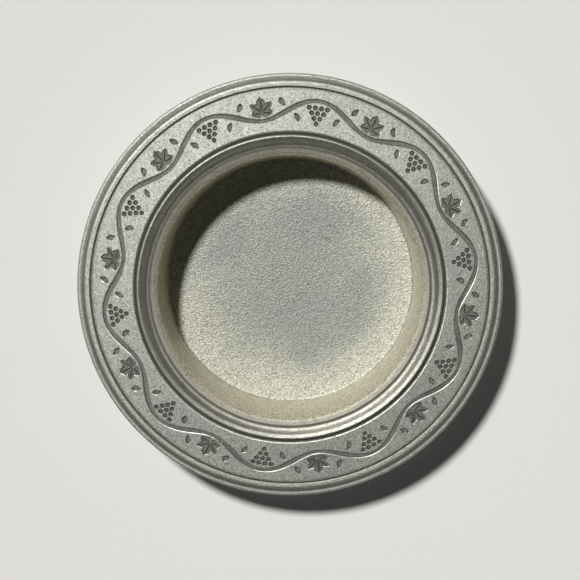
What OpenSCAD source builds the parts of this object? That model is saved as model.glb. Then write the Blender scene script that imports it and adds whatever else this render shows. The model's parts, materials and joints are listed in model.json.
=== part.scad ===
// Wine bottle coaster: one sand-cast metal dish, with a felt disc glued into its foot.
// All lengths are millimetres. The coaster stands on z = 0 with its axis on +Z.

/* [Dish] */
// Diameter over the rolled outer edge
rim_d = 152; // [146:1:180]
// Height from the table to the crown of the lip bead
dish_h = 31.75; // [24:0.25:45]
// Diameter of the well where its wall meets the floor
well_d = 89.8; // [76:0.2:96]
// Draft of the well's wall in degrees
well_draft = 4.5; // [2:0.5:6]
// Thickness of the cast wall and of the flange
wall_t = 3.6; // [2.6:0.1:4.6]
// Thickness of the floor under the bottle
floor_t = 4; // [3:0.1:7]
// Radius between the floor and the well's wall
floor_fillet_r = 1; // [0.5:0.1:4]
// Radius between the flange's underside and the outside of the well
neck_fillet_r = 3; // [1:0.5:5]

/* [Lip of the well] */
// Depth of the well's mouth below the crown of the lip bead
mouth_drop = 1.35; // [1:0.05:1.6]
// Height of the flare at the top of the well's wall
flare_drop = 4; // [2:0.5:8]
// Width by which the flare opens the well's mouth
flare_w = 1.5; // [0.6:0.05:2]
// Radius that sweeps the wall into the flare
flare_r = 20; // [5:1:30]
// Width of the sloping shoulder between the wall and the crease
shoulder_w = 1.75; // [1.2:0.05:2.4]
// Fall of the shoulder from the crease to the wall
shoulder_drop = 0.8; // [0.3:0.1:1.2]
// Radius of the shoulder
shoulder_r = 1.4; // [0.8:0.1:2.4]
// Slant of the crease's inner side, measured along the radius
crease_slant = 0.25; // [0.1:0.05:0.4]
// Depth of the crease below the mouth
crease_d = 0.45; // [0.3:0.05:0.6]
// Width of the crease's nearly flat bottom
crease_w = 0.8; // [0.6:0.05:1.4]
// Width of the gentle part of the cove
cove_w = 0.85; // [0.6:0.05:1.6]
// Depth of the cove's inner edge below the crown of the lip bead
cove_drop = 1.75; // [1.5:0.05:1.75]
// Rise of the gentle part of the cove
cove_rise = 0.35; // [0.1:0.05:0.6]
// Radius that sweeps the cove up into the bead
cove_r = 2; // [1:0.1:4]
// Width of the slope from the cove up to the bead
bead_slope_w = 1.1; // [0.8:0.05:1.6]
// Width of the gentler slope below the crown of the lip bead
brow_w = 0.85; // [0.5:0.05:1.2]
// Rise of the gentler slope to the crown
brow_rise = 0.4; // [0.2:0.05:0.5]
// Radius between the two slopes
brow_r = 1; // [0.5:0.1:2]
// Width of the lip bead's crown
bead_w = 0.4; // [0.3:0.05:0.8]
// Radius on both sides of the lip bead's crown
bead_r = 0.5; // [0.4:0.05:1.6]
// Width of the steep side of the lip bead towards the groove
bead_flank_w = 0.75; // [0.2:0.05:0.8]

/* [Flange] */
// Fall of the flange's band below level in degrees
band_fall = 15; // [8:0.5:22]
// Depth of the band's inner edge below the crown of the lip bead
band_drop = 0.75; // [0.6:0.05:1]
// Radius on both edges of the band
band_edge_r = 0.4; // [0.2:0.1:0.8]
// Width of the flat bottom of the groove at each side of the band
groove_w = 0.55; // [0.5:0.05:1.2]
// Depth of both grooves below the band's edge
groove_d = 0.6; // [0.4:0.05:0.9]
// Slant of the grooves' sides, measured along the radius
groove_slant = 0.4; // [0.1:0.05:0.5]
// Radius in the bottom corners of both grooves
groove_r = 0.12; // [0.05:0.01:0.25]

/* [Outer edge] */
// Width of the gently falling top of the broad bead
broad_bead_w = 1.95; // [1.2:0.05:2.4]
// Fall of the top of the broad bead
broad_bead_drop = 0.45; // [0.3:0.05:0.6]
// Radius of the broad bead's inner corner
broad_bead_r = 0.3; // [0.1:0.05:0.5]
// Radius of the broad bead's outer turn
broad_turn_r = 1.6; // [0.6:0.1:2.4]
// Width of the steep outer side of the broad bead
hollow_w = 1.05; // [0.8:0.05:1.6]
// Depth of the hollow below the band's outer edge
hollow_drop = 1.45; // [1.2:0.05:2]
// Radius in the bottom of the hollow
hollow_r = 0.25; // [0.1:0.05:0.5]
// Width of the edge roll
roll_w = 1.3; // [1:0.1:2]
// Rise of the edge roll out of the hollow
roll_rise = 0.25; // [0.1:0.05:0.5]
// Radius of the roll's upper and lower corners
roll_r = 0.7; // [0.3:0.05:1.1]
// Thickness of the edge from the roll's top to its underside
edge_t = 2.6; // [2.2:0.1:4]

/* [Foot] */
// Width of the foot ring
foot_w = 5.8; // [4:0.2:9]
// Radius on the outer edge of the foot ring
foot_r = 2.5; // [0.5:0.1:4]
// Radius on the inner edges of the foot ring
foot_edge_r = 0.4; // [0.1:0.05:0.8]
// Thickness of the felt disc
felt_t = 1.5; // [1:0.1:3]
// Height by which the felt stands proud of the foot ring
felt_proud = 0.5; // [0.2:0.05:0.8]
// Clearance between the felt's edge and the foot ring
felt_gap = 0.4; // [0.1:0.05:1]
// Radius on the felt's lower edge
felt_r = 0.3; // [0.1:0.05:0.4]

/* [Hidden] */
$fn = 180;
// Steps in a quarter turn of a rounded corner
round_steps = 8;
// Share of the shorter leg of a corner that its rounding may take up
leg_share = 0.48;

// Heights
recess_z = felt_t;
floor_z = recess_z + floor_t;
foot_z = felt_proud;
mouth_z = dish_h - mouth_drop;
shoulder_z = mouth_z - shoulder_drop;
flare_z = shoulder_z - flare_drop;
cove_z = dish_h - cove_drop;
band_in_z = dish_h - band_drop;

// Radii, from the well outwards to the band
well_r = well_d / 2;
flare_in_r = wall_radius(flare_z);
mouth_r = flare_in_r + flare_w;
crease_in_r = mouth_r + shoulder_w;
crease_r = crease_in_r + crease_slant;
cove_in_r = crease_r + crease_w;
cove_out_r = cove_in_r + cove_w;
brow_in_r = cove_out_r + bead_slope_w;
bead_in_r = brow_in_r + brow_w;
bead_out_r = bead_in_r + bead_w;
bead_foot_r = bead_out_r + bead_flank_w;
groove_in_r = bead_foot_r + groove_w;
band_in_r = groove_in_r + groove_slant;

// Radii, from the outer edge inwards to the band
rim_r = rim_d / 2;
hollow_out_r = rim_r - roll_w;
broad_out_r = hollow_out_r - hollow_w;
broad_in_r = broad_out_r - broad_bead_w;
groove_out_r = broad_in_r - groove_w;
band_out_r = groove_out_r - groove_slant;

// Heights that follow the falling band
band_out_z = band_height(band_out_r);
groove_in_z = band_in_z - groove_d;
groove_out_z = band_out_z - groove_d;
broad_in_z = band_out_z;
broad_out_z = broad_in_z - broad_bead_drop;
hollow_z = band_out_z - hollow_drop;
roll_z = hollow_z + roll_rise;
edge_z = roll_z - edge_t;

// The underside runs parallel to the band, then parallel to the well's wall
flange_drop = wall_t / cos(band_fall);
land_r = band_out_r + (band_out_z - flange_drop - edge_z) / tan(band_fall);
neck = crossing(
    [band_in_r, band_in_z - flange_drop], [cos(band_fall), -sin(band_fall)],
    [well_r + wall_t, floor_z], [sin(well_draft), cos(well_draft)]);
foot_out_r = wall_radius(foot_z) + wall_t;
foot_in_r = foot_out_r - foot_w;

// Half section of the dish: radius, height and rounding radius of each corner
dish_corners = [
    [0, floor_z, 0],
    [well_r, floor_z, floor_fillet_r],
    [flare_in_r, flare_z, flare_r],
    [mouth_r, shoulder_z, shoulder_r],
    [crease_in_r, mouth_z, 0],
    [crease_r, mouth_z - crease_d, 0],
    [cove_in_r, cove_z, cove_r],
    [cove_out_r, cove_z + cove_rise, cove_r],
    [brow_in_r, dish_h - brow_rise, brow_r],
    [bead_in_r, dish_h, bead_r],
    [bead_out_r, dish_h, bead_r],
    [bead_foot_r, groove_in_z, groove_r],
    [groove_in_r, groove_in_z, groove_r],
    [band_in_r, band_in_z, band_edge_r],
    [band_out_r, band_out_z, band_edge_r],
    [groove_out_r - groove_slant / 2, groove_out_z, groove_r],
    [broad_in_r - groove_slant / 2, groove_out_z, groove_r],
    [broad_in_r, broad_in_z, broad_bead_r],
    [broad_out_r, broad_out_z, broad_turn_r],
    [hollow_out_r, hollow_z, hollow_r],
    [rim_r, roll_z, roll_r],
    [rim_r, edge_z, roll_r],
    [land_r, edge_z, band_edge_r],
    [neck[0], neck[1], neck_fillet_r],
    [foot_out_r, foot_z, foot_r],
    [foot_in_r, foot_z, foot_edge_r],
    [foot_in_r, recess_z, foot_edge_r],
    [0, recess_z, 0],
];

// Half section of the felt disc, in the same form
felt_out_r = foot_in_r - felt_gap;
felt_corners = [
    [0, 0, 0],
    [felt_out_r, 0, felt_r],
    [felt_out_r, felt_t, 0],
    [0, felt_t, 0],
];

// Radius of the well's drafted wall at a height
function wall_radius(z) = well_r + (z - floor_z) * tan(well_draft);

// Height of the falling band at a radius
function band_height(r) = band_in_z - (r - band_in_r) * tan(band_fall);

// Point where the line through p along u crosses the line through q along v
function crossing(p, u, q, v) =
    p + u * (((q - p)[0] * v[1] - (q - p)[1] * v[0]) / (u[0] * v[1] - u[1] * v[0]));

function unit(v) = v / norm(v);

// Arc that rounds corner b between a and c, kept short of the middle of both legs
function rounding(a, b, c, r) =
    let (
        u = unit(a - b),
        v = unit(c - b),
        half = acos(u * v) / 2,
        leg = min(norm(a - b), norm(c - b)) * leg_share,
        reach = min(r / tan(half), leg),
        radius = reach * tan(half),
        centre = b + unit(u + v) * (radius / sin(half)),
        from = b + u * reach - centre,
        turn = 180 - 2 * half,
        side = sign(u[0] * v[1] - u[1] * v[0]),
        steps = max(2, ceil(round_steps * turn / 90))
    )
    [for (i = [0 : steps])
        let (angle = -side * turn * i / steps)
        centre + [from[0] * cos(angle) - from[1] * sin(angle),
                  from[0] * sin(angle) + from[1] * cos(angle)]];

// Outline through a list of corners, each rounded by its own radius
function rounded(corners) =
    let (count = len(corners))
    [for (i = [0 : count - 1])
        let (
            here = corners[i],
            b = [here[0], here[1]],
            before = corners[(i + count - 1) % count],
            after = corners[(i + 1) % count]
        )
        each here[2] > 0
            ? rounding([before[0], before[1]], b, [after[0], after[1]], here[2])
            : [b]];

// The casting: well, moulded lip, sloping flange, rolled edge and foot ring in one turning
module cast_dish() {
    color([0.66, 0.66, 0.63])
        rotate_extrude()
            polygon(rounded(dish_corners));
}

// Felt disc that fills the recess inside the foot ring and stands a little proud of it
module base_felt() {
    color([0.13, 0.24, 0.17])
        rotate_extrude()
            polygon(rounded(felt_corners));
}

cast_dish();
base_felt();
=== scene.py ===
"""Looks of the wine bottle coaster: a sand-cast dish with a carved vine border, on a felt foot."""

import json
import math

import bpy
from mathutils import Matrix, Vector, noise

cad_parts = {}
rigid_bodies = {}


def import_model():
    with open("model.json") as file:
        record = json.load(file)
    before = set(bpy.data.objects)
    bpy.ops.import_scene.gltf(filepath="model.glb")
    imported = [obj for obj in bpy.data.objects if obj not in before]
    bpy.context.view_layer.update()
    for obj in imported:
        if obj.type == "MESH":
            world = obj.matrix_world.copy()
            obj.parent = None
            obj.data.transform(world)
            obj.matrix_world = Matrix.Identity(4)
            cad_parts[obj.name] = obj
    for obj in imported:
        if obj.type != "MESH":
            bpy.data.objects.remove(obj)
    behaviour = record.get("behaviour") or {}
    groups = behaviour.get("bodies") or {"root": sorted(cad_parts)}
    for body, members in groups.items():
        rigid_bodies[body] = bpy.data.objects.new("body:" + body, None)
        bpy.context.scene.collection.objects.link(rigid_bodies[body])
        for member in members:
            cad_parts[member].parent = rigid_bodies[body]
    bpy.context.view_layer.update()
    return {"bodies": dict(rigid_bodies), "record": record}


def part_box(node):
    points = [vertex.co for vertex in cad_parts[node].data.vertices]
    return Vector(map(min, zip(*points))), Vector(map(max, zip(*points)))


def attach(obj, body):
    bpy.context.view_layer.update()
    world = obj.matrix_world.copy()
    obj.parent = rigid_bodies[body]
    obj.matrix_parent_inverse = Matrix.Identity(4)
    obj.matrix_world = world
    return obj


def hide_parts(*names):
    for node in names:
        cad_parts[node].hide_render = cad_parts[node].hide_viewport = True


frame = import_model()

MM = 0.001
TURN = 2 * math.pi
DISH_NODE = "cast_dish"
FELT_NODE = "base_felt"
BODY = next(iter(frame["bodies"]))

# Sizes read from the frame
dish_low, dish_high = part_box(DISH_NODE)
felt_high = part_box(FELT_NODE)[1]
mounts = {mount["name"]: mount for mount in frame["record"]["mounts"]}
SEAT_Z = mounts["bottle_seat"]["pos_m"][2]
RIM_R = dish_high.x
LIP_Z = dish_high.z
FOOT_Z = dish_low.z
FELT_R = felt_high.x
FELT_T = felt_high.z

# Well
WELL_R = 44.9 * MM
WELL_DRAFT = math.radians(4.5)
WALL_T = 3.6 * MM
FLOOR_FILLET_R = 1 * MM
NECK_FILLET_R = 3 * MM

# Lip of the well
MOUTH_DROP = 1.35 * MM
FLARE_DROP = 4 * MM
FLARE_W = 0.78 * MM
FLARE_R = 20 * MM
SHOULDER_W = 2.43 * MM
SHOULDER_DROP = 0.35 * MM
SHOULDER_R = 2 * MM
CREASE_SLANT = 0.25 * MM
CREASE_D = 0.45 * MM
CREASE_W = 0.8 * MM
COVE_W = 0.85 * MM
COVE_DROP = 1.75 * MM
COVE_RISE = 0.35 * MM
COVE_R = 2 * MM
BEAD_SLOPE_W = 1.2 * MM
BROW_W = 1 * MM
BROW_RISE = 0.4 * MM
BROW_R = 1 * MM
BEAD_W = 0.55 * MM
BEAD_R = 0.5 * MM
BEAD_FLANK_W = 0.4 * MM

# Flange
BAND_FALL = math.radians(15)
BAND_DROP = 0.83 * MM
BAND_EDGE_R = 0.8 * MM
GROOVE_W = 0.3 * MM
GROOVE_D = 0.6 * MM
GROOVE_SLANT = 0.85 * MM
GROOVE_R = 0.12 * MM

# Outer edge
BROAD_BEAD_W = 1.6 * MM
BROAD_BEAD_DROP = 0.1 * MM
BROAD_BEAD_R = 0.3 * MM
BROAD_TURN_R = 1.4 * MM
HOLLOW_W = 1.15 * MM
HOLLOW_DROP = 1.15 * MM
HOLLOW_R = 0.8 * MM
ROLL_W = 1.75 * MM
ROLL_RISE = 0.12 * MM
ROLL_R = 1.1 * MM
EDGE_T = 2.6 * MM

# Foot
FOOT_W = 5.8 * MM
FOOT_R = 2.5 * MM
FOOT_EDGE_R = 0.4 * MM

# Fineness of the meshes: steps round the axis and in a quarter round, the most that a rounding
# takes of a leg, the distance between added rings, the angle from which an edge stays sharp, and
# the lengths below which points are merged and slivers cleared
TURN_STEPS = 280
ROUND_STEPS = 7
LEG_SHARE = 0.48
FLOOR_RING = 3.2 * MM
BAND_RING = 1.3 * MM
SHARP_ANGLE = math.radians(40)
MERGE = 0.002 * MM
SLIVER = 0.001 * MM

# Camera: it looks down from a little towards +Y, with the rim where the photograph has it
FRAME_PX = 580
RIM_PX = 212.52
AIM_RIGHT_PX = 0.05
AIM_DOWN_PX = 4.1
CAMERA_DISTANCE = 0.95
CAMERA_TILT = math.radians(7.2)
SENSOR = 36.0
RIM_PLANE_Z = 24.5 * MM

# Vine border
REPEATS = 10
BORDER_R = 63.5 * MM
STAMP_DEPTH = 0.6 * MM
STAMP_RISE = 0.3 * MM


def wall_radius(z):
    """Radius of the well's drafted wall at a height."""
    return WELL_R + (z - SEAT_Z) * math.tan(WELL_DRAFT)


# Heights and radii of the half section, worked out as on a drawing
mouth_z = LIP_Z - MOUTH_DROP
shoulder_z = mouth_z - SHOULDER_DROP
cove_z = LIP_Z - COVE_DROP
band_in_z = LIP_Z - BAND_DROP
flare_z = shoulder_z - FLARE_DROP
mouth_r = wall_radius(flare_z) + FLARE_W
crease_in_r = mouth_r + SHOULDER_W
crease_r = crease_in_r + CREASE_SLANT
cove_in_r = crease_r + CREASE_W
cove_out_r = cove_in_r + COVE_W
brow_in_r = cove_out_r + BEAD_SLOPE_W
bead_in_r = brow_in_r + BROW_W
bead_out_r = bead_in_r + BEAD_W
bead_foot_r = bead_out_r + BEAD_FLANK_W
groove_in_r = bead_foot_r + GROOVE_W
band_in_r = groove_in_r + GROOVE_SLANT
hollow_out_r = RIM_R - ROLL_W
broad_out_r = hollow_out_r - HOLLOW_W
broad_in_r = broad_out_r - BROAD_BEAD_W
groove_out_r = broad_in_r - GROOVE_W
band_out_r = groove_out_r - GROOVE_SLANT


def band_height(r):
    """Height of the falling band at a radius."""
    return band_in_z - (r - band_in_r) * math.tan(BAND_FALL)


band_out_z = band_height(band_out_r)
hollow_z = band_out_z - HOLLOW_DROP
roll_z = hollow_z + ROLL_RISE
edge_z = roll_z - EDGE_T
flange_drop = WALL_T / math.cos(BAND_FALL)
land_r = band_out_r + (band_out_z - flange_drop - edge_z) / math.tan(BAND_FALL)
foot_out_r = wall_radius(FOOT_Z) + WALL_T
foot_in_r = foot_out_r - FOOT_W


def crossing(p, u, q, v):
    """Point where the line through p along u crosses the line through q along v."""
    across = u.x * v.y - u.y * v.x
    along = ((q - p).x * v.y - (q - p).y * v.x) / across
    return p + u * along


neck = crossing(
    Vector((band_in_r, band_in_z - flange_drop)),
    Vector((math.cos(BAND_FALL), -math.sin(BAND_FALL))),
    Vector((WELL_R + WALL_T, SEAT_Z)),
    Vector((math.sin(WELL_DRAFT), math.cos(WELL_DRAFT))),
)

# Each corner of the half section: radius, height and rounding radius
DISH_CORNERS = [
    (0, SEAT_Z, 0),
    (WELL_R, SEAT_Z, FLOOR_FILLET_R),
    (wall_radius(flare_z), flare_z, FLARE_R),
    (mouth_r, shoulder_z, SHOULDER_R),
    (crease_in_r, mouth_z, 0),
    (crease_r, mouth_z - CREASE_D, 0),
    (cove_in_r, cove_z, COVE_R),
    (cove_out_r, cove_z + COVE_RISE, COVE_R),
    (brow_in_r, LIP_Z - BROW_RISE, BROW_R),
    (bead_in_r, LIP_Z, BEAD_R),
    (bead_out_r, LIP_Z, BEAD_R),
    (bead_foot_r, band_in_z - GROOVE_D, GROOVE_R),
    (groove_in_r, band_in_z - GROOVE_D, GROOVE_R),
    (band_in_r, band_in_z, BAND_EDGE_R),
    (band_out_r, band_out_z, BAND_EDGE_R),
    (groove_out_r, band_out_z - GROOVE_D, GROOVE_R),
    (broad_in_r - GROOVE_W / 2, band_out_z - GROOVE_D, GROOVE_R),
    (broad_in_r, band_out_z - BROAD_BEAD_DROP, BROAD_BEAD_R),
    (broad_out_r, band_out_z - BROAD_BEAD_DROP, BROAD_TURN_R),
    (hollow_out_r, hollow_z, HOLLOW_R),
    (RIM_R, roll_z, ROLL_R),
    (RIM_R, edge_z, ROLL_R),
    (land_r, edge_z, BAND_EDGE_R),
    (neck.x, neck.y, NECK_FILLET_R),
    (foot_out_r, FOOT_Z, FOOT_R),
    (foot_in_r, FOOT_Z, FOOT_EDGE_R),
    (foot_in_r, FELT_T, FOOT_EDGE_R),
    (0, FELT_T, 0),
]


def rounding(a, b, c, r):
    """Arc that rounds corner b between a and c, kept short of the middle of both legs."""
    to_a = (a - b).normalized()
    to_c = (c - b).normalized()
    half = to_a.angle(to_c) / 2
    leg = min((a - b).length, (c - b).length) * LEG_SHARE
    reach = min(r / math.tan(half), leg)
    radius = reach * math.tan(half)
    centre = b + (to_a + to_c).normalized() * (radius / math.sin(half))
    start = b + to_a * reach - centre
    turn = math.pi - 2 * half
    side = math.copysign(1, to_a.x * to_c.y - to_a.y * to_c.x)
    steps = max(2, math.ceil(ROUND_STEPS * turn / (math.pi / 2)))
    arc = []
    for i in range(steps + 1):
        angle = -side * turn * i / steps
        arc.append(centre + Matrix.Rotation(angle, 2) @ start)
    return arc


def rounded(corners):
    """Points of an outline through a list of corners, each rounded by its own radius."""
    places = [Vector(corner[:2]) for corner in corners]
    points = []
    for i, corner in enumerate(corners):
        if corner[2] > 0:
            points += rounding(places[i - 1], places[i], places[i + 1], corner[2])
        else:
            points.append(places[i])
    return points


def pick_none():
    """Leaves edit mode and deselects every object."""
    if bpy.context.object and bpy.context.object.mode != "OBJECT":
        bpy.ops.object.mode_set(mode="OBJECT")
    bpy.ops.object.select_all(action="DESELECT")


def pick(obj):
    """Makes obj the one selected and active object."""
    pick_none()
    obj.select_set(True)
    bpy.context.view_layer.objects.active = obj


def named(obj, name):
    """Gives an object and its mesh one name."""
    obj.name = name
    obj.data.name = name
    return obj


def placed(name, data):
    """Puts a new object into the scene."""
    obj = bpy.data.objects.new(name, data)
    bpy.context.scene.collection.objects.link(obj)
    return obj


def settle(obj):
    """Puts an object's place, turn and size into its mesh."""
    pick(obj)
    bpy.ops.object.transform_apply(location=True, rotation=True, scale=True)
    return obj


def joined(objects, name):
    """Joins objects into one."""
    pick(objects[0])
    for obj in objects[1:]:
        obj.select_set(True)
    bpy.ops.object.join()
    return named(bpy.context.object, name)


def closed(obj):
    """Merges a mesh's doubled points and turns its faces outwards."""
    pick(obj)
    bpy.ops.object.mode_set(mode="EDIT")
    bpy.ops.mesh.select_all(action="SELECT")
    bpy.ops.mesh.remove_doubles(threshold=MERGE)
    bpy.ops.mesh.normals_make_consistent(inside=False)
    bpy.ops.object.mode_set(mode="OBJECT")
    return obj


def turned(name, points, steps):
    """Draws a half section point by point in the XZ plane and spins it round the axis."""
    pick_none()
    bpy.ops.mesh.primitive_plane_add(size=MM, location=(points[0].x, 0, points[0].y))
    obj = named(bpy.context.object, name)
    bpy.ops.object.mode_set(mode="EDIT")
    bpy.ops.mesh.merge(type="CENTER")
    for here, there in zip(points, points[1:]):
        step = (there.x - here.x, 0, there.y - here.y)
        bpy.ops.mesh.extrude_vertices_move(TRANSFORM_OT_translate={"value": step})
    bpy.ops.mesh.select_all(action="SELECT")
    bpy.ops.mesh.spin(steps=steps, angle=TURN, center=(0, 0, 0), axis=(0, 0, 1))
    return settle(closed(obj))


def with_rings(points, start, end, ring):
    """Adds rings to every long step of an outline that lies between two radii."""
    ringed = [points[0]]
    for here, there in zip(points, points[1:]):
        if start <= here.x and there.x <= end and (there - here).length > 2 * ring:
            count = round((there - here).length / ring)
            ringed += [here + (there - here) * i / count for i in range(1, count)]
        ringed.append(there)
    return ringed


# Section of every stamped mark, from above its rim inwards: widening and height, as shares of
# the mark's depth
RIM_SECTION = [
    (0.8, STAMP_RISE / STAMP_DEPTH), (0.8, 0), (0.48, -0.07), (0.22, -0.27),
    (0.03, -0.62), (-0.1, -0.92), (-0.24, -1),
]

# Outline of one half of the vine leaf: degrees from its tip, and distance from its stalk as a
# share of its reach
LEAF_REACH = 5.3 * MM
LEAF_SHARES = [
    (0, 1), (7, 0.86), (16, 0.8), (27, 0.58), (36, 0.7), (47, 0.9), (58, 0.76), (72, 0.52),
    (84, 0.6), (100, 0.7), (114, 0.56), (132, 0.44), (150, 0.38), (166, 0.27), (180, 0.16),
]
LEAF_STEPS = 84
LEAF_INSET = 0.01 * MM
LEAF_STALK_V = -0.4 * MM
VEIN_DEGREES = (0, 47, -47, 99, -99)
VEIN_HALF_W = 0.42 * MM
VEIN_RISE = 0.34 * MM
VEIN_START = 0.9 * MM
LEAF_FLOOR_SHARES = (0.86, 0.7, 0.54, 0.38, 0.2)


def leaf_radius(degrees):
    """Distance from the stalk to the leaf's outline."""
    angle = abs((degrees + 180) % 360 - 180)
    for (a, near), (b, far) in zip(LEAF_SHARES, LEAF_SHARES[1:]):
        if angle <= b:
            share = (angle - a) / (b - a)
            smooth = share * share * (3 - 2 * share)
            return LEAF_REACH * (near + (far - near) * smooth)
    return LEAF_REACH * LEAF_SHARES[-1][1]


def vein_rise(distance, degrees):
    """Height that the veins stand above the leaf's sunk floor."""
    rise = 0
    for vein in VEIN_DEGREES:
        off = math.radians((degrees - vein + 180) % 360 - 180)
        if abs(off) < math.pi / 2:
            gap = abs(distance * math.sin(off))
            rise = max(rise, 1 - gap / VEIN_HALF_W)
    return VEIN_RISE * rise * min(1, distance / VEIN_START)


def leaf_cutter(x):
    """Solid that sinks a vine leaf: a disc inset ring by ring, then drawn out to the outline."""
    rings = [(side * STAMP_DEPTH, drop * STAMP_DEPTH) for side, drop in RIM_SECTION]
    pick_none()
    bpy.ops.mesh.primitive_circle_add(vertices=LEAF_STEPS, radius=MM, fill_type="NGON")
    leaf = named(bpy.context.object, "leaf_cutter")
    bpy.ops.object.mode_set(mode="EDIT")
    for _ in range(len(rings) - 1 + len(LEAF_FLOOR_SHARES)):
        bpy.ops.mesh.inset(thickness=LEAF_INSET)
    bpy.ops.mesh.poke()
    bpy.ops.object.mode_set(mode="OBJECT")
    outward = sorted(leaf.data.vertices, key=lambda point: -point.co.length)
    for place, point in enumerate(outward):
        ring = place // LEAF_STEPS
        angle = math.atan2(point.co.x, point.co.y)
        outline = leaf_radius(math.degrees(angle))
        if ring < len(rings):
            distance = outline + rings[ring][0]
            height = rings[ring][1]
        elif ring < len(rings) + len(LEAF_FLOOR_SHARES):
            distance = (outline + rings[-1][0]) * LEAF_FLOOR_SHARES[ring - len(rings)]
            height = -STAMP_DEPTH + vein_rise(distance, math.degrees(angle))
        else:
            distance = 0
            height = -STAMP_DEPTH
        point.co = (distance * math.sin(angle), distance * math.cos(angle), height)
    pick(leaf)
    bpy.ops.object.mode_set(mode="EDIT")
    bpy.ops.mesh.select_all(action="DESELECT")
    bpy.ops.mesh.select_non_manifold()
    bpy.ops.mesh.edge_face_add()
    bpy.ops.mesh.select_all(action="SELECT")
    bpy.ops.mesh.normals_make_consistent(inside=False)
    bpy.ops.object.mode_set(mode="OBJECT")
    leaf.location = (x, LEAF_STALK_V, 0)
    return settle(leaf)


GRAPE_R = 0.98 * MM
GRAPE_DEPTH = 0.5 * MM
GRAPE_PITCH = 2.16 * MM
GRAPE_ROW_PITCH = 1.88 * MM
GRAPE_ROWS = (4, 3, 2, 1)
GRAPE_SEGMENTS = 20
GRAPE_RINGS = 14
BUNCH_TOP_V = 0.95 * MM


def bunch_cutters(x):
    """Balls that sink the berries of a hanging bunch, row by row."""
    ball = (GRAPE_R**2 + GRAPE_DEPTH**2) / (2 * GRAPE_DEPTH)
    cutters = []
    for row, count in enumerate(GRAPE_ROWS):
        for i in range(count):
            across = x + (i - (count - 1) / 2) * GRAPE_PITCH
            out = BUNCH_TOP_V - row * GRAPE_ROW_PITCH
            pick_none()
            bpy.ops.mesh.primitive_uv_sphere_add(
                segments=GRAPE_SEGMENTS,
                ring_count=GRAPE_RINGS,
                radius=ball,
                location=(across, out, ball - GRAPE_DEPTH),
            )
            cutters.append(settle(named(bpy.context.object, "grape_cutter")))
    return cutters


def graver():
    """Closed section of a cut mark, one unit wide inside its rim, for the curves to sweep."""
    half = 0.5
    side = [(half + out * half, down * half) for out, down in RIM_SECTION]
    section = [*side, *[(-x, y) for x, y in reversed(side)]]
    curve = bpy.data.curves.new("graver", "CURVE")
    curve.dimensions = "2D"
    line = curve.splines.new("POLY")
    line.points.add(len(section) - 1)
    for point, (x, y) in zip(line.points, section):
        point.co = (x, y, 0, 1)
    line.use_cyclic_u = True
    return placed("graver", curve)


def cut_line(points, widths, tool, capped):
    """Solid of a cut mark that follows points, as wide at each as widths say."""
    curve = bpy.data.curves.new("cut_line", "CURVE")
    curve.dimensions = "2D"
    curve.bevel_mode = "OBJECT"
    curve.bevel_object = tool
    curve.use_fill_caps = capped
    line = curve.splines.new("POLY")
    line.points.add(len(points) - 1)
    for point, (x, y), width in zip(line.points, points, widths):
        point.co = (x, y, 0, 1)
        point.radius = width
    pick(placed("cut_line", curve))
    bpy.ops.object.convert(target="MESH")
    return bpy.context.object


STEM_W = 1.3 * MM
STEM_THIN_SHARE = 0.25
STEM_SWING = 3.6 * MM
STEM_STEPS = 32


def stem_cutter(tool):
    """The vine's stem, one wave that runs all the way round."""
    count = REPEATS * STEM_STEPS
    points = []
    widths = []
    for i in range(count + 1):
        swing = math.sin(TURN * i / STEM_STEPS)
        points.append(Vector((TURN * BORDER_R * i / count, STEM_SWING * swing)))
        widths.append(STEM_W * (1 - STEM_THIN_SHARE * swing**2))
    stem = cut_line(points, widths, tool, capped=False)
    wrap_on_band(stem, 0)
    return closed(stem)


LEAFLET_W = 1.3 * MM
LEAFLET_TIP_SHARE = 0.12
LEAFLET_L = 3.6 * MM
LEAFLET_BEND = 0.3 * MM
LEAFLET_LEAN = math.radians(62)
LEAFLET_STEPS = 14
LEAFLET_U = 2.45 * MM
LEAFLET_V = 2.9 * MM


def leaflet_cutter(x, side, tool):
    """A small pointed leaflet in one of the hollows beside the stem."""
    points = []
    widths = []
    for i in range(LEAFLET_STEPS + 1):
        share = i / LEAFLET_STEPS
        along = (share - 0.5) * LEAFLET_L
        bend = LEAFLET_BEND * math.sin(math.pi * share)
        across = LEAFLET_U + along * math.cos(LEAFLET_LEAN) + bend * math.sin(LEAFLET_LEAN)
        out = LEAFLET_V + along * math.sin(LEAFLET_LEAN) - bend * math.cos(LEAFLET_LEAN)
        points.append(Vector((x + side.x * across, side.y * out)))
        swell = LEAFLET_TIP_SHARE + (1 - LEAFLET_TIP_SHARE) * math.sin(math.pi * share)
        widths.append(LEAFLET_W * swell)
    return closed(cut_line(points, widths, tool, capped=True))


def wrap_on_band(obj, turn):
    """Bends a flat cutter round the falling band, a turn away from the back."""
    middle_z = band_height(BORDER_R)
    fall_sin = math.sin(BAND_FALL)
    fall_cos = math.cos(BAND_FALL)
    for point in obj.data.vertices:
        across, out, up = point.co
        angle = across / BORDER_R + turn
        r = BORDER_R + out * fall_cos + up * fall_sin
        z = middle_z - out * fall_sin + up * fall_cos
        point.co = (r * math.sin(angle), r * math.cos(angle), z)


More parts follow.
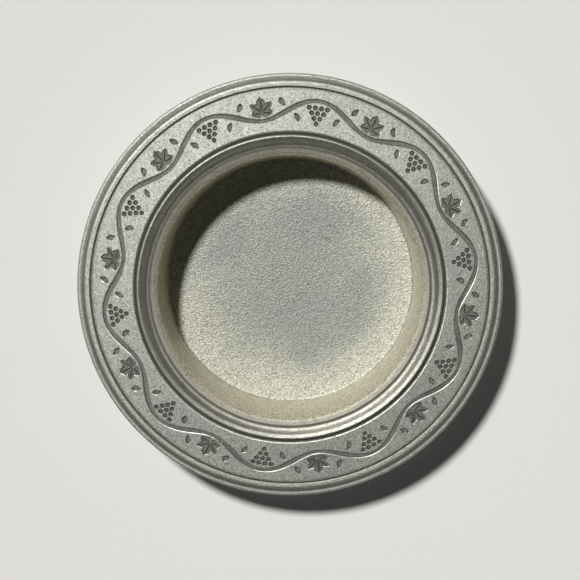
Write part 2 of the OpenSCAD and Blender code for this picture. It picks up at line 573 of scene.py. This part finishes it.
def border_cutter():
    """All the stamps of the vine border in one mesh, bent onto the band."""
    pitch = TURN * BORDER_R / REPEATS
    crest = pitch / 4
    trough = 3 * pitch / 4
    tool = graver()
    parts = [leaf_cutter(trough), *bunch_cutters(crest)]
    for x, sides in ((0, ((-1, 1), (1, -1))), (pitch / 2, ((1, 1), (-1, -1)))):
        parts += [leaflet_cutter(x, Vector(side), tool) for side in sides]
    unit = joined(parts, "border_unit")
    copies = [stem_cutter(tool)]
    bpy.data.objects.remove(tool)
    for i in range(REPEATS):
        copy = placed("border_copy", unit.data.copy())
        wrap_on_band(copy, TURN * i / REPEATS)
        copies.append(copy)
    bpy.data.objects.remove(unit)
    return closed(joined(copies, "border_cutter"))


FLOOR_WAVE = 0.05 * MM
FLOOR_WAVE_LENGTH = 14 * MM
FLOOR_WAVE_EDGE = 3 * MM
FLAT_WITHIN = 0.01 * MM


def unsettle_floor(dish):
    """Gives the floor of the well the slight unevenness of a casting."""
    flat_r = WELL_R - FLOOR_FILLET_R
    for point in dish.data.vertices:
        r = math.hypot(point.co.x, point.co.y)
        if r < flat_r and abs(point.co.z - SEAT_Z) < FLAT_WITHIN:
            calm = min(1, (flat_r - r) / FLOOR_WAVE_EDGE)
            point.co.z += FLOOR_WAVE * calm * noise.noise(point.co / FLOOR_WAVE_LENGTH)


def carve(obj, cutter):
    """Cuts one mesh out of another and clears the slivers that the cut leaves."""
    pick(obj)
    cut = obj.modifiers.new("carve", "BOOLEAN")
    cut.operation = "DIFFERENCE"
    cut.solver = "MANIFOLD"
    cut.object = cutter
    bpy.ops.object.modifier_apply(modifier=cut.name)
    bpy.data.objects.remove(cutter)
    bpy.ops.object.mode_set(mode="EDIT")
    bpy.ops.mesh.select_all(action="SELECT")
    bpy.ops.mesh.dissolve_degenerate(threshold=SLIVER)
    bpy.ops.object.mode_set(mode="OBJECT")


def carved_dish():
    """The casting: turned from its half section, then carved with the vine border."""
    outline = with_rings(rounded(DISH_CORNERS), 0, WELL_R, FLOOR_RING)
    outline = with_rings(outline, band_in_r, band_out_r, BAND_RING)
    dish = turned("carved_dish", outline, TURN_STEPS)
    unsettle_floor(dish)
    carve(dish, border_cutter())
    pick(dish)
    bpy.ops.object.shade_smooth_by_angle(angle=SHARP_ANGLE)
    level = dish.modifiers.new("level_shading", "WEIGHTED_NORMAL")
    level.mode = "FACE_AREA"
    level.keep_sharp = True
    bpy.ops.object.modifier_apply(modifier=level.name)
    return dish


FELT_STEPS = 180
FELT_EDGE_R = 0.3 * MM
FELT_EDGE_STEPS = 4


def felt_disc():
    """The felt disc: a filled circle, thickened and softened along its edge."""
    pick_none()
    bpy.ops.mesh.primitive_circle_add(vertices=FELT_STEPS, radius=FELT_R, fill_type="NGON")
    felt = named(bpy.context.object, "felt_disc")
    bpy.ops.object.mode_set(mode="EDIT")
    bpy.ops.mesh.select_all(action="SELECT")
    bpy.ops.mesh.extrude_region_move(TRANSFORM_OT_translate={"value": (0, 0, FELT_T)})
    bpy.ops.mesh.select_all(action="SELECT")
    bpy.ops.mesh.normals_make_consistent(inside=False)
    bpy.ops.object.mode_set(mode="OBJECT")
    bevel = felt.modifiers.new("soft_edge", "BEVEL")
    bevel.width = FELT_EDGE_R
    bevel.segments = FELT_EDGE_STEPS
    bevel.limit_method = "ANGLE"
    pick(felt)
    bpy.ops.object.modifier_apply(modifier=bevel.name)
    bpy.ops.object.shade_smooth_by_angle(angle=SHARP_ANGLE)
    return felt


def feed(tree, socket, value):
    """Feeds a socket from another socket, or sets its value."""
    if isinstance(value, bpy.types.NodeSocket):
        tree.links.new(value, socket)
    else:
        socket.default_value = value


def calc(tree, operation, first, second=0.0):
    """Adds a node that works out one value from two."""
    node = tree.nodes.new("ShaderNodeMath")
    node.operation = operation
    feed(tree, node.inputs[0], first)
    feed(tree, node.inputs[1], second)
    return node.outputs[0]


def times(tree, first, second):
    """Adds the product of two values."""
    return calc(tree, "MULTIPLY", first, second)


def rest(tree, share):
    """Adds what a share leaves of 1."""
    return calc(tree, "SUBTRACT", 1.0, share)


def most(tree, masks):
    """Adds the greatest of some masks."""
    result = 0.0
    for mask in masks:
        result = calc(tree, "MAXIMUM", result, mask)
    return result


def fade(tree, value, start, end):
    """Adds a soft step that is 0 at start and 1 at end."""
    node = tree.nodes.new("ShaderNodeMapRange")
    node.interpolation_type = "SMOOTHSTEP"
    feed(tree, node.inputs["Value"], value)
    feed(tree, node.inputs["From Min"], start)
    feed(tree, node.inputs["From Max"], end)
    return node.outputs["Result"]


def between(tree, value, low, high, soft):
    """Adds a mask that is 1 from low to high and fades out over soft on both sides."""
    rise = fade(tree, value, low - soft, low)
    fall = fade(tree, value, high + soft, high)
    return times(tree, rise, fall)


def blended(tree, share, first, second):
    """Adds a blend of two values."""
    node = tree.nodes.new("ShaderNodeMix")
    node.data_type = "FLOAT"
    feed(tree, node.inputs[0], share)
    feed(tree, node.inputs[2], first)
    feed(tree, node.inputs[3], second)
    return node.outputs[0]


def tinted(tree, share, first, second):
    """Adds a blend of two colours."""
    node = tree.nodes.new("ShaderNodeMix")
    node.data_type = "RGBA"
    feed(tree, node.inputs[0], share)
    feed(tree, node.inputs[6], first)
    feed(tree, node.inputs[7], second)
    return node.outputs[2]


def noisy(tree, place, scale, detail, roughness):
    """Adds a noise of one value."""
    node = tree.nodes.new("ShaderNodeTexNoise")
    feed(tree, node.inputs["Vector"], place)
    feed(tree, node.inputs["Scale"], scale)
    feed(tree, node.inputs["Detail"], detail)
    feed(tree, node.inputs["Roughness"], roughness)
    return node.outputs["Fac"]


def scattered(tree, place, fineness):
    """Adds scattered cells: the distance from each one's middle, and its own draw from 0 to 1."""
    cells = tree.nodes.new("ShaderNodeTexVoronoi")
    feed(tree, cells.inputs["Vector"], place)
    feed(tree, cells.inputs["Scale"], fineness)
    draw = tree.nodes.new("ShaderNodeSeparateColor")
    feed(tree, draw.inputs["Color"], cells.outputs["Color"])
    return cells.outputs["Distance"], draw.outputs["Red"]


def start_group(name, numbers, result):
    """New node group on a place and some numbers, with its sockets in and out."""
    group = bpy.data.node_groups.new(name, "ShaderNodeTree")
    group.interface.new_socket("Place", in_out="INPUT", socket_type="NodeSocketVector")
    for label in numbers:
        group.interface.new_socket(label, in_out="INPUT", socket_type="NodeSocketFloat")
    group.interface.new_socket(result, in_out="OUTPUT", socket_type="NodeSocketFloat")
    way_in = group.nodes.new("NodeGroupInput").outputs
    way_out = group.nodes.new("NodeGroupOutput").inputs
    return group, way_in, way_out


def use(tree, group, **values):
    """Places a node group in a material with its own values, and gives its result."""
    node = tree.nodes.new("ShaderNodeGroup")
    node.node_tree = group
    for label, value in values.items():
        feed(tree, node.inputs[label], value)
    return node.outputs[0]


GRAIN_DETAIL = 0.6
GRAIN_ROUGHNESS = 0.5
GRAIN_SPREAD = (0.25, 0.75)


def grain_group():
    """Rounded grain, as sand or fibres leave it: Height is from 0 to 1."""
    group, way_in, way_out = start_group("grain", ["Fineness"], "Height")
    pebbles = noisy(group, way_in["Place"], way_in["Fineness"], GRAIN_DETAIL, GRAIN_ROUGHNESS)
    feed(group, way_out["Height"], fade(group, pebbles, *GRAIN_SPREAD))
    return group


CLOUD_DETAIL = 4.0
CLOUD_ROUGHNESS = 0.6
CLOUD_TOP = 0.75
CLOUD_SPREAD = 0.3


def cloud_group():
    """Wide soft patches, for stains and uneven colour: Cloud is from 0 to 1."""
    group, way_in, way_out = start_group("clouds", ["Fineness", "Cover"], "Cloud")
    patches = noisy(group, way_in["Place"], way_in["Fineness"], CLOUD_DETAIL, CLOUD_ROUGHNESS)
    low = calc(group, "SUBTRACT", CLOUD_TOP, way_in["Cover"])
    high = calc(group, "ADD", low, CLOUD_SPREAD)
    feed(group, way_out["Cloud"], fade(group, patches, low, high))
    return group


SPECK_SPREAD = (0.42, 0.12)


def speck_group():
    """Small scattered specks, as pits or lint: Speck is from 0 to 1."""
    group, way_in, way_out = start_group("specks", ["Fineness", "Share"], "Speck")
    distance, draw = scattered(group, way_in["Place"], way_in["Fineness"])
    spot = fade(group, distance, *SPECK_SPREAD)
    chosen = calc(group, "LESS_THAN", draw, way_in["Share"])
    feed(group, way_out["Speck"], times(group, spot, chosen))
    return group


# Cells of the pepper: fineness as a share, and weight
PEPPER_CELLS = [(0.6, 0.14), (1.0, 0.38), (1.7, 0.5)]
PEPPER_SPREAD = (0.4, 1.0)


def pepper_group():
    """Salt-and-pepper skin of sand-cast metal, in cells of three sizes: Dark is 0 to about 1."""
    group, way_in, way_out = start_group("pepper", ["Fineness"], "Dark")
    dark = 0.0
    for share, weight in PEPPER_CELLS:
        draw = scattered(group, way_in["Place"], times(group, way_in["Fineness"], share))[1]
        dark = calc(group, "ADD", dark, times(group, fade(group, draw, *PEPPER_SPREAD), weight))
    feed(group, way_out["Dark"], dark)
    return group


def new_material(name):
    """New material, with its node tree and its shader."""
    material = bpy.data.materials.new(name)
    material.use_nodes = True
    tree = material.node_tree
    return material, tree, tree.nodes["Principled BSDF"]


def object_place(tree):
    """Adds the place on the object, which moves with it."""
    return tree.nodes.new("ShaderNodeTexCoord").outputs["Object"]


def bumped(tree, shader, height, distance):
    """Raises a shader's surface by a height from 0 to 1 over a distance."""
    bump = tree.nodes.new("ShaderNodeBump")
    bump.inputs["Strength"].default_value = 1.0
    bump.inputs["Distance"].default_value = distance
    feed(tree, bump.inputs["Height"], height)
    feed(tree, shader.inputs["Normal"], bump.outputs["Normal"])


# Rings on top of the casting: the radii between which each is full, and how softly it fades out
TOP_RINGS = {
    "shoulder": (mouth_r, crease_in_r, 0.3 * MM),
    "lip": (crease_r, bead_out_r, 0.3 * MM),
    "bead": (bead_in_r, bead_out_r, 0.15 * MM),
    "brink": (band_in_r - 0.3 * MM, band_in_r - 0.1 * MM, 0.15 * MM),
    "edge": (broad_in_r, RIM_R, 0.2 * MM),
    # Hollow under the edge roll: its dark is partly patina and partly painted shade
    "hollow": (broad_out_r + 0.5 * MM, hollow_out_r + 0.3 * MM, 0.5 * MM),
}
TOP_HEIGHTS = (edge_z + 1 * MM, edge_z + 1.5 * MM)

# Crease beside the shoulder: where its dark comes in and where it goes out
CREASE_IN = (crease_in_r - 0.5 * MM, crease_r + 0.1 * MM)
CREASE_OUT = (cove_in_r + 0.2 * MM, crease_r + 0.3 * MM)

# Corners of the grooves, from a little inside each to a little outside it; the dark there is patina
# with painted shade where the grooves' walls meet their floors
CORNER_RADII = (bead_foot_r, groove_in_r, groove_out_r, broad_in_r)
CORNER_IN = 0.12 * MM
CORNER_OUT = 0.04 * MM
CORNER_SOFT = 0.14 * MM

# Band: depths below the cone on which it lies, and how softly it ends
BAND_SOFT = 0.2 * MM
UPPER_DEPTHS = (2.4 * MM, 1.6 * MM)
SUNK_DEPTHS = (0.12 * MM, 0.34 * MM)
# Flanks of the stamps: patina, darkened further as painted shade, a dark outline standing in for
# the shade along the stamps' walls
FLANK_DEPTHS = (0.2 * MM, 0.44 * MM, 0.08 * MM)
RIM_DEPTHS = (0.03 * MM, 0.12 * MM, 0.02 * MM)

# Well: where its inside begins, where its wall begins, and where the wall is steep
INSIDE_RADII = (mouth_r + 1.2 * MM, mouth_r + 0.2 * MM)
WALL_HEIGHTS = (SEAT_Z + 0.2 * MM, SEAT_Z + 1.5 * MM)
STEEP_RADII = (mouth_r + 1.1 * MM, mouth_r + 0.1 * MM)


def casting_zones(tree, place):
    """Adds masks of the casting's surfaces, by name, and the distance from its axis."""
    axes = tree.nodes.new("ShaderNodeSeparateXYZ")
    feed(tree, axes.inputs[0], place)
    x, y, z = axes.outputs
    r = calc(tree, "SQRT", calc(tree, "ADD", times(tree, x, x), times(tree, y, y)))
    fall = times(tree, calc(tree, "SUBTRACT", r, band_in_r), math.tan(BAND_FALL))
    depth = calc(tree, "SUBTRACT", calc(tree, "SUBTRACT", band_in_z, fall), z)
    zone = {}

    # Band and grooves
    upper = times(tree, fade(tree, depth, *UPPER_DEPTHS), fade(tree, r, bead_out_r, bead_foot_r))
    zone["sunk"] = times(tree, fade(tree, depth, *SUNK_DEPTHS), upper)
    zone["band"] = times(tree, between(tree, r, band_in_r, band_out_r, BAND_SOFT), upper)
    zone["flanks"] = times(tree, between(tree, depth, *FLANK_DEPTHS), zone["band"])
    zone["grooves"] = times(tree, zone["sunk"], rest(tree, zone["band"]))
    corners = [
        between(tree, r, corner_r - CORNER_IN, corner_r + CORNER_OUT, CORNER_SOFT)
        for corner_r in CORNER_RADII
    ]
    zone["corners"] = times(tree, most(tree, corners), zone["grooves"])

    # Lip and edge
    on_top = fade(tree, z, *TOP_HEIGHTS)
    for name, ring in TOP_RINGS.items():
        zone[name] = times(tree, between(tree, r, *ring), on_top)
    crease = times(tree, fade(tree, r, *CREASE_IN), fade(tree, r, *CREASE_OUT))
    zone["crease"] = times(tree, crease, on_top)

    # Well
    inside = fade(tree, r, *INSIDE_RADII)
    zone["wall"] = times(tree, inside, fade(tree, z, *WALL_HEIGHTS))
    zone["floor"] = calc(tree, "SUBTRACT", inside, zone["wall"])
    zone["steep"] = times(tree, zone["wall"], fade(tree, r, *STEEP_RADII))

    # Edges that hands and cloths wear bright
    rims = times(tree, between(tree, depth, *RIM_DEPTHS), zone["band"])
    worn = most(tree, (zone["bead"], zone["brink"], rims))
    zone["worn"] = times(tree, worn, rest(tree, zone["sunk"]))
    return zone, r


# Colours of the metal
METAL = (0.76, 0.77, 0.71, 1)
METAL_COOL = (0.66, 0.69, 0.665, 1)
# Warm and rosy tints of the well's wall: partly the metal's own warmth, partly painted warm light
# bounced round the inside of the well
METAL_WARM_BOUNCE = (0.94, 0.895, 0.72, 1)
METAL_ROSY_BOUNCE = (0.94, 0.855, 0.735, 1)
METAL_SHOULDER = (0.47, 0.45, 0.385, 1)
METAL_LIP = (0.53, 0.525, 0.465, 1)
METAL_EDGE = (0.58, 0.58, 0.53, 1)
METAL_FLOOR = (0.6, 0.61, 0.56, 1)
METAL_FLOOR_LIGHT = (0.77, 0.77, 0.685, 1)
METAL_CLOUD = (0.47, 0.495, 0.485, 1)
METAL_DULL = (0.52, 0.525, 0.48, 1)
METAL_PEPPER = (0.24, 0.245, 0.22, 1)
# Dark of the patina in the hollows, also used as painted shade on the stamps' flanks, the grooves'
# corners and the hollow under the edge roll
PATINA_AND_SHADE = (0.1, 0.1, 0.08, 1)
ZONE_COLOURS = {"edge": METAL_EDGE, "lip": METAL_LIP, "shoulder": METAL_SHOULDER}

# Fineness of the metal's clouds, pits and pepper, and how much of the surface they cover
BROAD_CLOUDS = {"Fineness": 38.0, "Cover": 0.35}
SMALL_CLOUDS = {"Fineness": 150.0, "Cover": 0.3}
PITS = {"Fineness": 900.0, "Share": 0.004}
PEPPER_FINENESS = 2400.0

# How strongly each tint shows
BROAD_SHARE = 0.55
SMALL_SHARE = 0.2
FLOOR_SMALL_SHARE = 0.25
DRIFT_SHARE = 0.85
WALL_BOUNCE_SHARE = 0.85

# Floor of the well: radii over which it turns dull in the middle, lighter towards its edge and
# clouded, and its clouds
DULL_RADII = (34 * MM, 4 * MM)
FLOOR_LIGHTER_RADII = (22 * MM, 41 * MM)
CLOUDED_RADII = (42 * MM, 26 * MM)
DRIFT_FINENESS = 34.0
DRIFT_DETAIL = 1.5
DRIFT_ROUGHNESS = 0.5
DRIFT_SPREAD = (0.44, 0.6)

# Patina, with painted shade: how much of it the sunk border holds, and how much every other hollow
# holds; on the stamps' flanks, the grooves' corners and the hollow the dark is partly painted shade
SUNK_STAIN = (0.42, 0.6)
STAIN_AND_SHADE_SHARES = {
    # Flanks: patina and painted shade along the stamps' walls
    "flanks": 0.9,
    "grooves": 0.75,
    # Corners: patina and painted shade where the grooves' walls meet their floors
    "corners": 0.97,
    "crease": 0.66,
    # Hollow: patina and painted shade under the edge roll
    "hollow": 0.5,
    "pits": 0.7,
}

# Roughness: at rest, zone by zone in this order, what small clouds add, then wear, and patina
# together with painted shade
ROUGH = 0.6
ZONE_ROUGH = {"floor": 0.66, "band": 0.68, "edge": 0.52, "lip": 0.48, "shoulder": 0.6, "steep": 0.8}
CLOUD_ROUGH = 0.06
WEAR_ROUGH = {"worn": 0.46, "sunk": 0.95, "stain_and_shade": 0.88}

# Grain of the sand mould: fineness, heights at rest, fine grain zone by zone, and depth of pits
COARSE_FINENESS = 1700.0
FINE_FINENESS = 3200.0
COARSE_HEIGHT = 0.7
FINE_HEIGHT = 0.5
ZONE_FINE_HEIGHT = {"band": 0.9, "wall": 0.6, "worn": 0.25}
PIT_DEPTH = 0.8
METAL_BUMP = 0.1 * MM


def floor_colour(tree, place, r, small):
    """Adds the colour of the well's floor: dull in the middle, lighter towards its edge, and
    clouded.
    """
    colour = tinted(tree, fade(tree, r, *DULL_RADII), METAL_FLOOR, METAL_DULL)
    colour = tinted(tree, fade(tree, r, *FLOOR_LIGHTER_RADII), colour, METAL_FLOOR_LIGHT)
    drift = noisy(tree, place, DRIFT_FINENESS, DRIFT_DETAIL, DRIFT_ROUGHNESS)
    clouded = times(tree, fade(tree, drift, *DRIFT_SPREAD), fade(tree, r, *CLOUDED_RADII))
    colour = tinted(tree, times(tree, clouded, DRIFT_SHARE), colour, METAL_CLOUD)
    return tinted(tree, times(tree, small, FLOOR_SMALL_SHARE), colour, METAL_FLOOR_LIGHT)


def metal_colour(tree, place, zone, r, broad, small):
    """Adds the colour of the clean metal, zone by zone, with a warm bright tint on the well's wall
    that is partly the metal's own and partly painted light bounced round the well.
    """
    colour = tinted(tree, times(tree, broad, BROAD_SHARE), METAL, METAL_COOL)
    colour = tinted(tree, times(tree, small, SMALL_SHARE), colour, METAL_COOL)
    colour = tinted(tree, zone["floor"], colour, floor_colour(tree, place, r, small))
    for name, tint in ZONE_COLOURS.items():
        colour = tinted(tree, zone[name], colour, tint)
    # Painted bounce light: the well's wall is tinted warm and bright for the light that bounces
    # round the well, on top of the metal's own warmth
    wall_bounce_colour = tinted(tree, small, METAL_WARM_BOUNCE, METAL_ROSY_BOUNCE)
    return tinted(tree, times(tree, zone["wall"], WALL_BOUNCE_SHARE), colour, wall_bounce_colour)


def metal_stain_and_shade(tree, zone, small):
    """Adds how much patina lies on the metal, with painted shade on the stamps' flanks, the
    grooves' corners and the hollow under the edge roll.
    """
    sunk = times(tree, zone["sunk"], blended(tree, small, *SUNK_STAIN))
    held = [times(tree, zone[name], share) for name, share in STAIN_AND_SHADE_SHARES.items()]
    return most(tree, [sunk, *held])


def metal_rough(tree, zone, small):
    """Adds the roughness of the metal."""
    rough = ROUGH
    for name, level in ZONE_ROUGH.items():
        rough = blended(tree, zone[name], rough, level)
    rough = calc(tree, "ADD", rough, times(tree, small, CLOUD_ROUGH))
    for name, level in WEAR_ROUGH.items():
        rough = blended(tree, zone[name], rough, level)
    return rough


def metal_skin(tree, place, zone, grain):
    """Adds the mould's grain, coarser on the floor and polished down on the wall and edges."""
    coarse = use(tree, grain, Place=place, Fineness=COARSE_FINENESS)
    fine = use(tree, grain, Place=place, Fineness=FINE_FINENESS)
    skin = times(tree, fine, FINE_HEIGHT)
    pitted = calc(tree, "ADD", times(tree, coarse, COARSE_HEIGHT), skin)
    skin = blended(tree, zone["floor"], skin, pitted)
    for name, height in ZONE_FINE_HEIGHT.items():
        skin = blended(tree, zone[name], skin, times(tree, fine, height))
    return calc(tree, "SUBTRACT", skin, times(tree, zone["pits"], PIT_DEPTH))


def cast_metal(grain, clouds, specks, pepper):
    """Sand-cast metal with dark patina in every hollow, part of it painted shade, a warm tint on
    the well's wall partly painted for bounced light, and brighter worn edges.
    """
    material, tree, shader = new_material("cast_metal")
    place = object_place(tree)
    zone, r = casting_zones(tree, place)
    broad = use(tree, clouds, Place=place, **BROAD_CLOUDS)
    small = use(tree, clouds, Place=place, **SMALL_CLOUDS)
    dark = use(tree, pepper, Place=place, Fineness=PEPPER_FINENESS)
    zone["pits"] = use(tree, specks, Place=place, **PITS)
    zone["stain_and_shade"] = metal_stain_and_shade(tree, zone, small)
    colour = metal_colour(tree, place, zone, r, broad, small)
    colour = tinted(tree, dark, colour, METAL_PEPPER)
    colour = tinted(tree, zone["stain_and_shade"], colour, PATINA_AND_SHADE)
    feed(tree, shader.inputs["Base Color"], colour)
    shader.inputs["Metallic"].default_value = 1.0
    feed(tree, shader.inputs["Roughness"], metal_rough(tree, zone, small))
    bumped(tree, shader, metal_skin(tree, place, zone, grain), METAL_BUMP)
    return material


# Felt: its colours, the fineness of its fibres, mats and lint, and its surface
FELT = (0.028, 0.07, 0.04, 1)
FELT_LIGHT = (0.055, 0.11, 0.07, 1)
LINT = (0.3, 0.31, 0.27, 1)
FIBRE_FINENESS = 2600.0
MATS = {"Fineness": 90.0, "Cover": 0.35}
MAT_SHARE = 0.35
LINT_SPECKS = {"Fineness": 420.0, "Share": 0.02}
LINT_SHARE = 0.6
FELT_ROUGH = (0.98, 0.85)
FELT_SHEEN = 0.35
FELT_SHEEN_ROUGH = 0.6
FELT_BUMP = 0.15 * MM


def felt_cloth(grain, clouds, specks):
    """Pressed green felt with short matted fibres and a little lint."""
    material, tree, shader = new_material("felt")
    place = object_place(tree)
    fibres = use(tree, grain, Place=place, Fineness=FIBRE_FINENESS)
    mats = use(tree, clouds, Place=place, **MATS)
    lint = use(tree, specks, Place=place, **LINT_SPECKS)
    colour = tinted(tree, fibres, FELT, FELT_LIGHT)
    colour = tinted(tree, times(tree, mats, MAT_SHARE), colour, FELT_LIGHT)
    colour = tinted(tree, times(tree, lint, LINT_SHARE), colour, LINT)
    feed(tree, shader.inputs["Base Color"], colour)
    feed(tree, shader.inputs["Roughness"], blended(tree, fibres, *FELT_ROUGH))
    shader.inputs["Sheen Weight"].default_value = FELT_SHEEN
    shader.inputs["Sheen Roughness"].default_value = FELT_SHEEN_ROUGH
    bumped(tree, shader, fibres, FELT_BUMP)
    return material


MATT_ROUGH = 0.9
MATT_SHINE = 0.2


def plain_matt(name, colour):
    """Plain matt material for the floor."""
    material, _, shader = new_material(name)
    shader.inputs["Base Color"].default_value = colour
    shader.inputs["Roughness"].default_value = MATT_ROUGH
    shader.inputs["Specular IOR Level"].default_value = MATT_SHINE
    return material


def camera():
    """Camera at the photograph's viewing angle and scale."""
    pixel = RIM_R / RIM_PX
    back = Vector((0, math.sin(CAMERA_TILT), math.cos(CAMERA_TILT)))
    up = Vector((0, math.cos(CAMERA_TILT), -math.sin(CAMERA_TILT)))
    right = Vector((1, 0, 0))
    aim = Vector((0, 0, RIM_PLANE_Z)) + right * AIM_RIGHT_PX * pixel - up * AIM_DOWN_PX * pixel
    lens = bpy.data.cameras.new("camera")
    lens.sensor_width = SENSOR
    lens.lens = SENSOR * CAMERA_DISTANCE / (FRAME_PX * pixel)
    obj = placed("camera", lens)
    obj.location = aim + back * CAMERA_DISTANCE
    obj.rotation_mode = "QUATERNION"
    obj.rotation_quaternion = Matrix((right, up, back)).transposed().to_quaternion()
    bpy.context.scene.camera = obj


SUN_AZIMUTH = math.radians(33)
SUN_ZENITH = math.radians(30)
SUN_LEVEL = 3.2
SUN_SOFTNESS = math.radians(6)
SUN_COLOUR = (1, 0.985, 0.95)
LAMP_DISTANCE = 2
SKY_COLOUR = (0.84, 0.92, 1, 1)
SKY_LEVEL = 0.02


def lights():
    """One broad soft lamp from the left and back, and a dim even sky."""
    way = Vector((
        -math.sin(SUN_AZIMUTH) * math.sin(SUN_ZENITH),
        math.cos(SUN_AZIMUTH) * math.sin(SUN_ZENITH),
        math.cos(SUN_ZENITH),
    ))
    lamp = bpy.data.lights.new("lamp", "SUN")
    lamp.energy = SUN_LEVEL
    lamp.angle = SUN_SOFTNESS
    lamp.color = SUN_COLOUR
    obj = placed("lamp", lamp)
    obj.location = way * LAMP_DISTANCE
    obj.rotation_mode = "QUATERNION"
    obj.rotation_quaternion = way.to_track_quat("Z", "Y")
    sky = bpy.data.worlds.new("sky")
    bpy.context.scene.world = sky
    sky.use_nodes = True
    sky.node_tree.nodes["Background"].inputs["Color"].default_value = SKY_COLOUR
    sky.node_tree.nodes["Background"].inputs["Strength"].default_value = SKY_LEVEL


SWEEP_R = 3.0
SWEEP_BEND_R = 0.4
SWEEP_H = 0.6
SWEEP_STEPS = 96
FLOOR_COLOUR = (0.8, 0.8, 0.79, 1)


def sweep_floor():
    """Round pale floor that bends up into a pale wall."""
    outline = rounded([(0, 0, 0), (SWEEP_R, 0, SWEEP_BEND_R), (SWEEP_R, SWEEP_H, 0)])
    floor = turned("sweep_floor", outline, SWEEP_STEPS)
    floor.data.materials.append(plain_matt("pale_floor", FLOOR_COLOUR))
    pick(floor)
    bpy.ops.object.shade_smooth()


camera()
lights()
sweep_floor()

shared = (grain_group(), cloud_group(), speck_group())
dish = carved_dish()
dish.data.materials.clear()
dish.data.materials.append(cast_metal(*shared, pepper_group()))
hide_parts(DISH_NODE)
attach(dish, BODY)

felt = felt_disc()
felt.data.materials.clear()
felt.data.materials.append(felt_cloth(*shared))
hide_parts(FELT_NODE)
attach(felt, BODY)

bpy.context.scene.view_settings.view_transform = "Standard"
